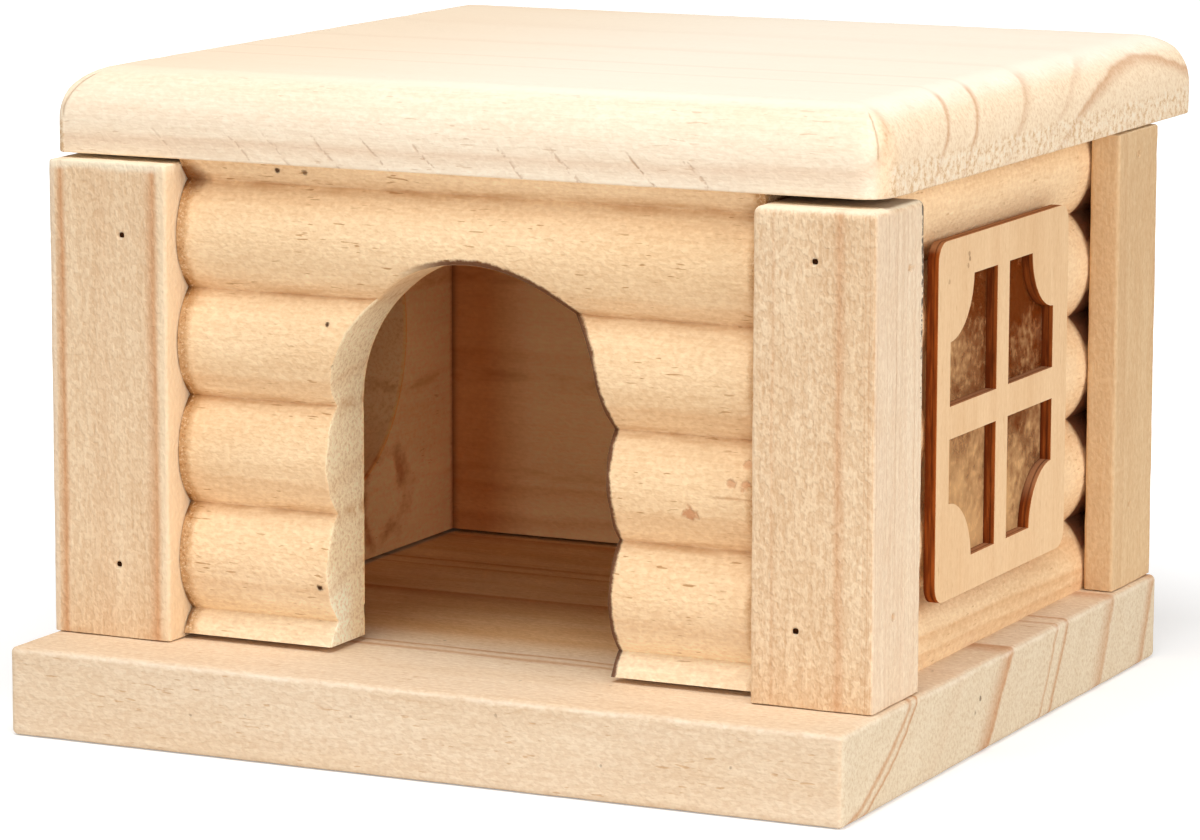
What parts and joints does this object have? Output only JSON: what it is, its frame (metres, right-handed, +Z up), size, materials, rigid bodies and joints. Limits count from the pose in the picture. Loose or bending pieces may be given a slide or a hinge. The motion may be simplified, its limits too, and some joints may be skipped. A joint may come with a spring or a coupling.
{
  "type": "hamster house",
  "caption": "Small free-standing wooden hamster house with log-profile walls, an arched door, a four-pane window on each side and a lift-off rounded roof board.",
  "frame": {"origin": "On the underside of the base board, at the centre of the rectangle that the whole house covers seen from above (the roof overhangs the base at the back).", "axes": "+X to the house's right as seen from the front, +Y from the front to the back (the door faces -Y), +Z up."},
  "size_m": [0.12, 0.129, 0.0881],
  "materials": {
    "base_wood": "bare sanded pine",
    "post_wood": "bare planed pine",
    "log_wood": "bare pine moulding",
    "roof_wood": "bare sanded pine",
    "frame_plywood": "bare plywood with burnt cut edges",
    "film_clear": "clear film, slightly cloudy",
    "pin_steel": "plain steel"
  },
  "bodies": {
    "house": {"base_board": "base_wood", "post_front_left": "post_wood", "post_front_right": "post_wood", "post_rear_left": "post_wood", "post_rear_right": "post_wood", "front_wall": "log_wood", "left_wall": "log_wood", "right_wall": "log_wood", "back_wall": "log_wood", "left_window_film": "film_clear", "right_window_film": "film_clear", "left_window_frame": "frame_plywood", "right_window_frame": "frame_plywood", "pins_front": "pin_steel", "pins_left": "pin_steel", "pins_right": "pin_steel"},
    "roof": {"roof_board": "roof_wood"}
  },
  "joints": [
    {"name": "roof_lift", "type": "slide", "parent": "house", "child": "roof", "axis": [0, 0, 1], "range_m": [0, 0.09]}
  ]
}
